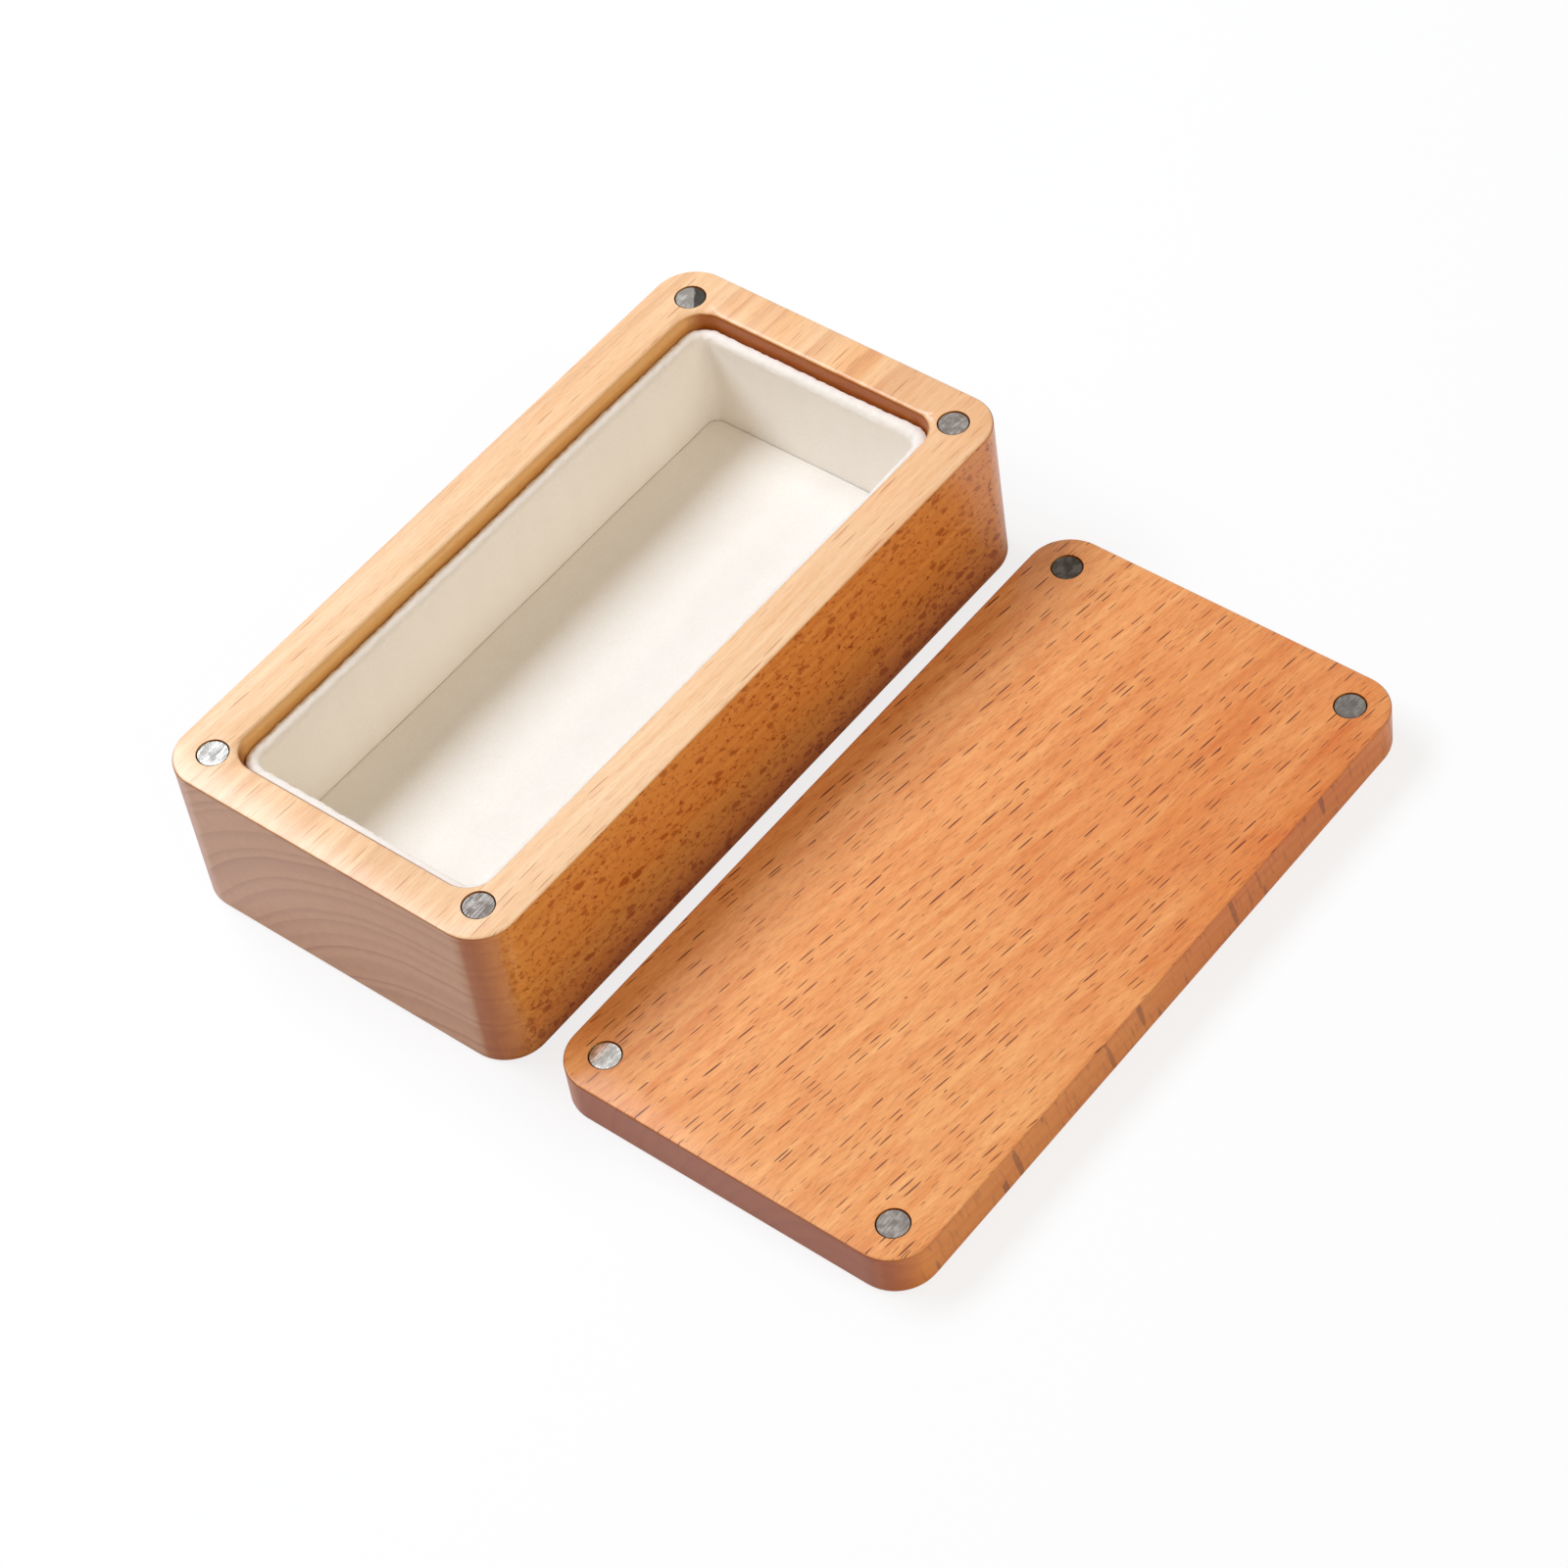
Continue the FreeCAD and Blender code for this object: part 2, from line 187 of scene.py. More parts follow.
@dataclass(frozen=True)
class RayShape:
    """The rays that one cut shows: spacing and half size along the grain, across and up.

    slant leans them from upright, in degrees, jag makes their edges ragged, scatter is how unevenly they lie,
    strength is how much the smallest and the largest show, and speckle how much the specks between them do.
    """

    pitch: Point
    half: Point
    slant: float
    jag: float
    scatter: float
    strength: Flat
    speckle: float


@dataclass(frozen=True)
class BeechGrain:
    """The pattern that both boards share: streaks in millimetres, and the rest as shares.

    Real fibres are about 0.02 mm thick. They are drawn as streaks of 0.45 mm, so that they show.
    """

    fibre: Point = (15.0, 0.45, 0.45)
    band: Point = (70.0, 2.0, 2.0)
    cloud: Point = (34.0, 9.0, 9.0)
    sway: Point = (70.0, 34.0, 34.0)
    fibre_share: float = 0.8
    tone: Flat = (0.6, 1.2)
    patch_stretch: Point = (0.6, 1.0, 0.0)
    clouded: Flat = (0.3, 0.65)
    least_cloud: float = 0.25
    weather: float = 0.45
    uneven_years: float = 2.2
    late_season: Flat = (0.3, 0.88)
    vigour: Flat = (0.3, 0.8)
    patch_vigour: float = 0.6
    rag: float = 1.4
    rag_across: float = 0.2
    ray_rarity: float = 2.5
    ray_sizes: Flat = (0.5, 1.7)
    ray_edge: float = 0.65
    speck_scale: float = 0.8
    specks: Flat = (0.52, 0.74)
    pore: float = 0.6
    relief: float = 0.04


@dataclass(frozen=True)
class Facing:
    """How squarely a face looks along an axis: where a cut starts to show, and where it is whole."""

    level: Flat = (0.3, 0.7)
    side: Flat = (0.8, 0.98)
    corner: Flat = (0.25, 0.85)
    end: Flat = (0.95, 0.993)


GRAIN = BeechGrain()
FACING = Facing()


@dataclass(frozen=True)
class BeechFinish:
    """Solid beech, planed, sanded and rubbed with a satin oil.

    Rays cut on edge show as short dark dashes on a flat-sawn face and as plump flecks on a rift-sawn one.
    Growth rings are thin darker lines, arched on the end grain. The oil leaves a soft sheen.
    """

    name: str
    flat: CutLook
    rift: CutLook
    end: CutLook
    late_wood: str
    ray: str
    patch: str
    patch_place: Flat
    patch_reach: float
    origin: Point
    grain_turn: float
    grain_dip: float
    pith: Flat
    ring_width: float
    flat_rays: RayShape
    side_rays: RayShape
    seed: float
    pocket: CutLook = CutLook("#EBB56F", ring=0.15, fleck=0.20, fibre=0.12)
    # Painted shade: the next colour darkens the pocket's end walls, and the one after it the rounded outer
    # corners.
    pocket_end_shade: str = "#BA8630"
    corner: str = "#C7A689"
    waver: float = 4.0
    gloss: Flat = (0.30, 0.42)

    def material(self) -> Material:
        """Draws the timber as one solid pattern that every face cuts through.

        Returns:
            The material.
        """
        material, shader = new_material(self.name)
        tree = material.node_tree
        place = add_node(tree, "TexCoord", {})
        log = add_node(
            tree, "Mapping",
            {
                "Vector": place.outputs["Object"],
                "Location": [size * MM for size in self.origin],
                "Rotation": (0, math.radians(self.grain_dip), math.radians(self.grain_turn)),
                "Scale": (MM, MM, MM),
            },
            vector_type="TEXTURE",
        )
        # A face that looks back at the middle of the block is one of the pocket's.
        outward = add_node(tree, "VectorMath", {0: place.outputs["Normal"], 1: log}, operation="DOT_PRODUCT")
        outer = add_node(tree, "Math", {0: outward, 1: 0.0}, operation="GREATER_THAN")
        log = self._wavering(tree, log)
        patch = self._patch(tree, log)
        rings = self._rings(tree, log, patch)
        rays = self._rays(tree, log, self.flat_rays)
        fibre = self._streaks(tree, log, GRAIN.fibre, detail=3.0)
        band = self._streaks(tree, log, GRAIN.band, detail=2.0)

        normal = add_node(tree, "VectorMath", {0: place.outputs["Normal"]}, operation="ABSOLUTE")
        facing = add_node(tree, "SeparateXYZ", {"Vector": normal})
        side_on = add_node(tree, "MapRange", {"Value": facing.outputs["Y"], **limits("From", FACING.side)})
        side_rays = add_node(
            tree, "Math", {0: self._rays(tree, log, self.side_rays), 1: side_on}, operation="MULTIPLY",
        )
        # Each cut has its own colour: partly the real cut, and partly painted shade, with the sides darker
        # and more saturated than the top.
        cuts = ((self.flat, rays), (self.rift, side_rays), (self.end, rays), (self.pocket, rays))
        flat, rift, end, pocket = (
            self._shade(tree, look, rings, flecks, fibre, band) for look, flecks in cuts
        )
        flatness = add_node(
            tree, "MapRange", {"Value": facing.outputs["Z"], **limits("From", FACING.level)},
            interpolation_type="SMOOTHSTEP",
        )
        long_face = add_node(tree, "Mix", {0: outer, 6: pocket, 7: rift}, data_type="RGBA")
        # Painted shade: the box's rounded outer corners and the pocket's end walls are darkened here.
        corner_and_pocket_shade = add_node(
            tree, "Mix", {0: outer, 6: linear(self.pocket_end_shade), 7: linear(self.corner)}, data_type="RGBA",
        )
        slant = add_node(tree, "MapRange", {"Value": facing.outputs["X"], **limits("From", FACING.corner)})
        shade_darkened_face = add_node(
            tree, "Mix", {0: slant, 6: long_face, 7: corner_and_pocket_shade}, data_type="RGBA", blend_type="MULTIPLY",
        )
        across = add_node(
            tree, "MapRange", {"Value": facing.outputs["X"], **limits("From", FACING.end), "To Max": outer},
            interpolation_type="SMOOTHSTEP",
        )
        sides = add_node(tree, "Mix", {0: across, 6: shade_darkened_face, 7: end}, data_type="RGBA")
        faces = add_node(tree, "Mix", {0: flatness, 6: sides, 7: flat}, data_type="RGBA")
        colour = add_node(
            tree, "Mix", {0: patch, 6: faces, 7: linear(self.patch)}, data_type="RGBA", blend_type="MULTIPLY",
        )
        gloss = add_node(
            tree, "MapRange", {"Value": fibre, **limits("From", NOISE_SPAN), **limits("To", self.gloss)},
        )
        cut_rays = add_node(tree, "Mix", {0: flatness, 2: side_rays, 3: rays})
        height = add_node(tree, "Math", {0: cut_rays, 1: -GRAIN.pore, 2: fibre}, operation="MULTIPLY_ADD")
        bump = add_node(tree, "Bump", {"Strength": 0.25, "Distance": GRAIN.relief * MM, "Height": height})
        set_inputs(tree, shader, {
            "Base Color": colour,
            "Roughness": gloss,
            "IOR": 1.5,
            "Specular IOR Level": 0.15,
            "Coat Weight": 0.55,
            "Coat Roughness": 0.22,
            "Coat IOR": 1.5,
            "Normal": bump,
        })
        return material

    def _wavering(self, tree: Tree, log: Node) -> Node:
        """Bends the grain gently along the log, as no tree grows straight.

        Args:
            tree: The material's tree.
            log: Place in the log: along the grain, then across, then up.

        Returns:
            The bent place.
        """
        slow = add_node(tree, "VectorMath", {0: log, 1: GRAIN.sway}, operation="DIVIDE")
        sway = add_node(
            tree, "TexNoise", {"Vector": slow, "W": self.seed, "Scale": 1.0, "Detail": 2.0},
            noise_dimensions="4D",
        )
        return add_node(
            tree, "VectorMath", {0: sway.outputs["Color"], 1: (0.0, self.waver, self.waver), 2: log},
            operation="MULTIPLY_ADD",
        )

    def _patch(self, tree: Tree, log: Node) -> Node:
        """Redder wood about one place, fading out in clouds.

        Args:
            tree: The material's tree.
            log: Place in the log.

        Returns:
            The share of the redder colour, from 0 to 1.
        """
        cloud = self._streaks(tree, log, GRAIN.cloud, detail=2.0)
        away = add_node(tree, "VectorMath", {0: log, 1: (*self.patch_place, 0.0)}, operation="SUBTRACT")
        spread = add_node(tree, "VectorMath", {0: away, 1: GRAIN.patch_stretch}, operation="MULTIPLY")
        reach = add_node(tree, "VectorMath", {0: spread}, operation="LENGTH")
        near = add_node(
            tree, "MapRange", {"Value": reach, "From Max": self.patch_reach, **limits("To", FADE_OUT)},
            interpolation_type="SMOOTHSTEP",
        )
        clouded = add_node(
            tree, "MapRange", {"Value": cloud, **limits("From", GRAIN.clouded), "To Min": GRAIN.least_cloud},
        )
        return add_node(tree, "Math", {0: near, 1: clouded}, operation="MULTIPLY")

    def _rings(self, tree: Tree, log: Node, patch: Node) -> Node:
        """Growth rings about the pith: each darkens slowly outwards and stops at a line.

        Args:
            tree: The material's tree.
            log: Place in the log.
            patch: Share of redder wood, where the rings show most.

        Returns:
            The share of late wood, from 0 to 1.
        """
        from_pith = add_node(tree, "VectorMath", {0: log, 1: (0.0, *self.pith)}, operation="SUBTRACT")
        spread = add_node(tree, "VectorMath", {0: from_pith, 1: (0.0, 1.0, 1.0)}, operation="MULTIPLY")
        radius = add_node(tree, "VectorMath", {0: spread}, operation="LENGTH")
        even = add_node(tree, "Math", {0: radius, 1: self.ring_width}, operation="DIVIDE")
        weather = add_node(
            tree, "TexNoise", {"W": even, "Scale": GRAIN.weather, "Detail": 1.0}, noise_dimensions="1D",
        )
        years = add_node(tree, "Math", {0: weather, 1: GRAIN.uneven_years, 2: even}, operation="MULTIPLY_ADD")
        season = add_node(tree, "Math", {0: years}, operation="FRACT")
        year = add_node(tree, "Math", {0: years}, operation="FLOOR")
        growth = add_node(tree, "TexWhiteNoise", {"W": year}, noise_dimensions="1D")
        darkening = add_node(
            tree, "MapRange", {"Value": season, **limits("From", GRAIN.late_season)},
            interpolation_type="SMOOTHSTEP",
        )
        stop = add_node(
            tree, "MapRange", {"Value": season, "From Min": GRAIN.late_season[1], **limits("To", FADE_OUT)},
            interpolation_type="SMOOTHSTEP",
        )
        line = add_node(tree, "Math", {0: darkening, 1: stop}, operation="MULTIPLY")
        vigour = add_node(tree, "MapRange", {"Value": growth, **limits("To", GRAIN.vigour)})
        showing = add_node(
            tree, "Math", {0: patch, 1: GRAIN.patch_vigour, 2: vigour}, operation="MULTIPLY_ADD",
        )
        return add_node(tree, "Math", {0: line, 1: showing}, operation="MULTIPLY")

    def _rays(self, tree: Tree, log: Node, shape: RayShape) -> Node:
        """Rays as scattered ellipsoids.

        Args:
            tree: The material's tree.
            log: Place in the log.
            shape: The rays' sizes.

        Returns:
            The share of ray, from 0 to 1.
        """
        turned = add_node(tree, "Mapping", {"Vector": log, "Rotation": (0, math.radians(shape.slant), 0)})
        ragged = add_node(tree, "TexNoise", {"Vector": turned, "Scale": GRAIN.rag, "Detail": 2.0})
        jag = (shape.jag, GRAIN.rag_across * shape.jag, shape.jag)
        jagged = add_node(
            tree, "VectorMath", {0: ragged.outputs["Color"], 1: jag, 2: turned}, operation="MULTIPLY_ADD",
        )
        cell = add_node(tree, "VectorMath", {0: jagged, 1: shape.pitch}, operation="DIVIDE")
        spots = add_node(tree, "TexVoronoi", {"Vector": cell, "Scale": 1.0, "Randomness": shape.scatter})
        away = add_node(tree, "VectorMath", {0: cell, 1: spots.outputs["Position"]}, operation="SUBTRACT")
        halves = tuple(pitch / half for pitch, half in zip(shape.pitch, shape.half))
        scaled = add_node(tree, "VectorMath", {0: away, 1: halves}, operation="MULTIPLY")
        reach = add_node(tree, "VectorMath", {0: scaled}, operation="LENGTH")
        chance = add_node(tree, "SeparateColor", {"Color": spots.outputs["Color"]})
        rare = add_node(tree, "Math", {0: chance.outputs["Red"], 1: GRAIN.ray_rarity}, operation="POWER")
        size = add_node(tree, "MapRange", {"Value": rare, **limits("To", GRAIN.ray_sizes)})
        share = add_node(tree, "Math", {0: reach, 1: size}, operation="DIVIDE")
        mask = add_node(
            tree, "MapRange", {"Value": share, "From Min": GRAIN.ray_edge, **limits("To", FADE_OUT)},
            interpolation_type="SMOOTHSTEP",
        )
        depth = add_node(tree, "MapRange", {"Value": rare, **limits("To", shape.strength)})
        bold = add_node(tree, "Math", {0: mask, 1: depth}, operation="MULTIPLY")
        small = add_node(tree, "VectorMath", {0: jagged, 1: shape.half}, operation="DIVIDE")
        speck = add_node(tree, "TexNoise", {"Vector": small, "Scale": GRAIN.speck_scale, "Detail": 2.0})
        specks = add_node(
            tree, "MapRange", {"Value": speck, **limits("From", GRAIN.specks), "To Max": shape.speckle},
            interpolation_type="SMOOTHSTEP",
        )
        return add_node(tree, "Math", {0: bold, 1: specks}, operation="MAXIMUM")

    def _streaks(self, tree: Tree, log: Node, size: Point, detail: float) -> Node:
        """Soft noise drawn out along the grain.

        Args:
            tree: The material's tree.
            log: Place in the log.
            size: Length, width and height of a streak.
            detail: How much finer noise is in it.

        Returns:
            The noise, about 0.5.
        """
        cell = add_node(tree, "VectorMath", {0: log, 1: size}, operation="DIVIDE")
        return add_node(
            tree, "TexNoise", {"Vector": cell, "W": self.seed, "Scale": 1.0, "Detail": detail},
            noise_dimensions="4D",
        )

    def _shade(self, tree: Tree, look: CutLook, rings: Node, rays: Node, fibre: Node, band: Node) -> Node:
        """Colours the timber for one cut.

        Args:
            tree: The material's tree.
            look: The cut's colour and strengths.
            rings: Share of late wood.
            rays: Share of ray.
            fibre: Fine streaks.
            band: Broad streaks.

        Returns:
            The cut's colour.
        """
        tone = add_node(tree, "Math", {0: fibre, 1: GRAIN.fibre_share, 2: band}, operation="MULTIPLY_ADD")
        light = add_node(tree, "MapRange", {"Value": tone, **limits("From", GRAIN.tone)})
        shade = add_node(
            tree, "Mix", {0: light, 6: look.streak(-look.fibre), 7: look.streak(look.fibre)},
            data_type="RGBA",
        )
        for mark, strength, tint in ((rings, look.ring, self.late_wood), (rays, look.fleck, self.ray)):
            share = add_node(tree, "Math", {0: mark, 1: strength}, operation="MULTIPLY")
            shade = add_node(
                tree, "Mix", {0: share, 6: shade, 7: linear(tint)}, data_type="RGBA", blend_type="MULTIPLY",
            )
        return shade


@dataclass(frozen=True)
class NickelPlate:
    """Nickel plate on a pressed disc magnet, tumbled and handled.

    A warm grey metal with a satin face, cloudy where it has been rubbed, finely scuffed, and on some discs
    darker past a line across the plan, given by its direction, then its distance from the origin. The same
    dark colour is painted on the chamfer as shade in the seam with the wood.
    """

    name: str
    bright: str
    dull: str
    dark_share: float = 0.0
    dark_and_seam_shade: str = "#3A3632"
    stain_from: Point = (0.62, -0.78, 17.9)
    stain_fade: Flat = (0.3, 0.8)
    cloud_size: float = 1.6
    scuff_size: Point = (2.4, 0.16, 2.4)
    scuff_turn: float = 35.0
    scuff_height: float = 0.4
    wear: Flat = (0.18, 0.36)
    seam_shade_from: Flat = (0.8, 0.97)
    gloss: Flat = (0.06, 0.16)
    relief: float = 0.05

    def material(self) -> Material:
        """Clouds, scuffs and stains a metal shader.

        Returns:
            The material.
        """
        material, shader = new_material(self.name)
        tree = material.node_tree
        coords = add_node(tree, "TexCoord", {})
        place = coords.outputs["Object"]
        cloud = add_node(
            tree, "TexNoise", {"Vector": place, "Scale": 1 / (self.cloud_size * MM), "Detail": 4.0},
        )
        turned = add_node(
            tree, "Mapping",
            {
                "Vector": place,
                "Rotation": (0, 0, math.radians(self.scuff_turn)),
                "Scale": [1 / (size * MM) for size in self.scuff_size],
            },
        )
        scuff = add_node(tree, "TexNoise", {"Vector": turned, "Scale": 1.0, "Detail": 3.0})
        worn = add_node(tree, "Math", {0: cloud, 1: scuff}, operation="MULTIPLY")
        rubbed = add_node(
            tree, "MapRange", {"Value": worn, **limits("From", self.wear)}, interpolation_type="SMOOTHSTEP",
        )
        plate = add_node(
            tree, "Mix", {0: rubbed, 6: linear(self.dull), 7: linear(self.bright)}, data_type="RGBA",
        )
        *across, start = self.stain_from
        run = add_node(tree, "VectorMath", {0: place, 1: (*across, 0.0)}, operation="DOT_PRODUCT")
        edge = add_node(tree, "Math", {0: cloud, 1: MM, 2: run}, operation="MULTIPLY_ADD")
        fade = tuple((start + past) * MM for past in self.stain_fade)
        darkened_past_line = add_node(
            tree, "MapRange", {"Value": edge, **limits("From", fade), "To Max": self.dark_share},
            interpolation_type="SMOOTHSTEP",
        )
        colour = add_node(tree, "Mix", {0: darkened_past_line, 6: plate, 7: linear(self.dark_and_seam_shade)}, data_type="RGBA")
        # Painted shade: the chamfer takes the dark colour, standing in for the shadow in the seam with the
        # wood.
        facing = add_node(tree, "SeparateXYZ", {"Vector": coords.outputs["Normal"]})
        level = add_node(tree, "Math", {0: facing.outputs["Z"]}, operation="ABSOLUTE")
        off_seam = add_node(tree, "MapRange", {"Value": level, **limits("From", self.seam_shade_from)})
        seam_shaded = add_node(tree, "Mix", {0: off_seam, 6: linear(self.dark_and_seam_shade), 7: colour}, data_type="RGBA")
        rough = add_node(
            tree, "MapRange", {"Value": scuff, **limits("From", NOISE_SPAN), **limits("To", self.gloss)},
        )
        height = add_node(tree, "Math", {0: scuff, 1: self.scuff_height, 2: cloud}, operation="MULTIPLY_ADD")
        bump = add_node(tree, "Bump", {"Strength": 0.12, "Distance": self.relief * MM, "Height": height})
        set_inputs(tree, shader, {"Base Color": seam_shaded, "Metallic": 1.0, "Roughness": rough, "Normal": bump})
        return material


class PlateWearAndReflection(Enum):
    """How a magnet's plate looks: its rubbing, and an overall tone that is painted reflection, standing in
    for the brighter and darker surroundings that each disc mirrors.
    """

    BRIGHT = NickelPlate("nickel plate, bright", bright="#F0EEEA", dull="#AFACA6")
    STAINED = NickelPlate("nickel plate, stained", bright="#C9C5BF", dull="#9C9791", dark_share=0.9)
    RUBBED = NickelPlate("nickel plate, rubbed", bright="#B4ADA8", dull="#857C76")
    DULL = NickelPlate("nickel plate, dull", bright="#8E8883", dull="#6E6863")
    DARK = NickelPlate("nickel plate, darkly_reflecting", bright="#605850", dull="#3F3832")


@dataclass(frozen=True)
class CottonVelvet:
    """Ivory cotton velvet, a short dense pile cut level.

    The pile drinks light face on and glows at its edges, and brushing leaves faint cloudy patches.
    Real pile is about 0.1 mm apart. It is drawn three times as coarse, so that it shows.
    """

    name: str = "cotton velvet, cut pile"
    face: str = "#F8F2E9"
    depth: str = "#EDE5D8"
    pile_size: float = 0.3
    pile_height: float = 0.12
    brush_size: Point = (5.0, 5.0, 40.0)
    brush_share: float = 0.3
    tone: Flat = (0.25, 1.05)

    def material(self) -> Material:
        """Speckles and brushes a matt shader with a sheen.

        Returns:
            The material.
        """
        material, shader = new_material(self.name)
        tree = material.node_tree
        place = add_node(tree, "TexCoord", {}).outputs["Object"]
        pile = add_node(
            tree, "TexNoise", {"Vector": place, "Scale": 1 / (self.pile_size * MM), "Detail": 2.0},
        )
        stroke = add_node(
            tree, "Mapping", {"Vector": place, "Scale": [1 / (size * MM) for size in self.brush_size]},
        )
        brush = add_node(tree, "TexNoise", {"Vector": stroke, "Scale": 1.0, "Detail": 2.0})
        mixed = add_node(tree, "Math", {0: brush, 1: self.brush_share, 2: pile}, operation="MULTIPLY_ADD")
        share = add_node(tree, "MapRange", {"Value": mixed, **limits("From", self.tone)})
        colour = add_node(
            tree, "Mix", {0: share, 6: linear(self.depth), 7: linear(self.face)}, data_type="RGBA",
        )
        bump = add_node(tree, "Bump", {"Strength": 0.35, "Distance": self.pile_height * MM, "Height": pile})
        set_inputs(tree, shader, {
            "Base Color": colour,
            "Roughness": 1.0,
            "Specular IOR Level": 0.1,
            "Sheen Weight": 0.35,
            "Sheen Roughness": 0.5,
            "Normal": bump,
        })
        return material


@dataclass(frozen=True)
class GreyBoard:
    """Grey board of pressed waste paper: matt, with flecks of darker pulp."""

    name: str = "grey board, pressed pulp"
    pale: str = "#A79E90"
    dark: str = "#7C7468"
    pulp_size: float = 0.8

    def material(self) -> Material:
        """Flecks a matt shader.

        Returns:
            The material.
        """
        material, shader = new_material(self.name)
        tree = material.node_tree
        place = add_node(tree, "TexCoord", {}).outputs["Object"]
        pulp = add_node(
            tree, "TexNoise", {"Vector": place, "Scale": 1 / (self.pulp_size * MM), "Detail": 4.0},
        )
        colour = add_node(
            tree, "Mix", {0: pulp, 6: linear(self.dark), 7: linear(self.pale)}, data_type="RGBA",
        )
        set_inputs(tree, shader, {"Base Color": colour, "Roughness": 0.9})
        return material


def dress(node: str, material: Material) -> Piece:
    """Gives a solid part its material.

    Args:
        node: The part's name.
        material: Its material.

    Returns:
        The part's object.
    """
    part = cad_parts[node]
    part.data.materials.clear()
    part.data.materials.append(material)
    LOG.info("%s: %s", node, material.name)
    return part


def new_mesh(name: str, points: list[Point], faces: list[tuple[int, ...]]) -> Piece:
    """Makes a smooth mesh object.

    Args:
        name: The object's name.
        points: Its corners, in millimetres.
        faces: Each face's corners, by number.

    Returns:
        The object, linked to the scene.
    """
    mesh = bpy.data.meshes.new(name)
    mesh.from_pydata([Vector(point) * MM for point in points], [], faces)
    mesh.validate()
    mesh.shade_smooth()
    mesh.set_sharp_from_angle(angle=math.radians(SHARP_FROM))
    made = bpy.data.objects.new(name, mesh)
    bpy.context.scene.collection.objects.link(made)
    return made


@dataclass
class BeechPart:
    """The box or the lid, with its broken arrises softened by hand sanding."""

    node: str
    slot: Slot
    finish: BeechFinish
    weld: float = 0.001
    square_from: float = 60.0

    def build(self) -> None:
        """Dresses the part and lets the light run softly over its narrow chamfers."""
        part = dress(self.node, self.finish.material())
        joined = part.modifiers.new("joined_faces", "WELD")
        joined.merge_threshold = self.weld * MM
        square = part.modifiers.new("square_edges", "EDGE_SPLIT")
        square.split_angle = math.radians(self.square_from)
        sanded = part.modifiers.new("sanded_arrises", "WEIGHTED_NORMAL")
        sanded.weight = 100


@dataclass
class Magnets:
    """Four disc magnets in the rim and four in the lid, each with its own rubbing and its own tone of painted
    reflection.
    """

    rim: dict[str, PlateWearAndReflection]
    lid: dict[str, PlateWearAndReflection]

    def build(self) -> None:
        """Dresses the eight discs."""
        plates = {wear: wear.value.material() for wear in PlateWearAndReflection}
        for seat, discs in (("rim", self.rim), ("lid", self.lid)):
            for corner, wear in discs.items():
                dress(f"{seat}_magnet_{corner}", plates[wear])


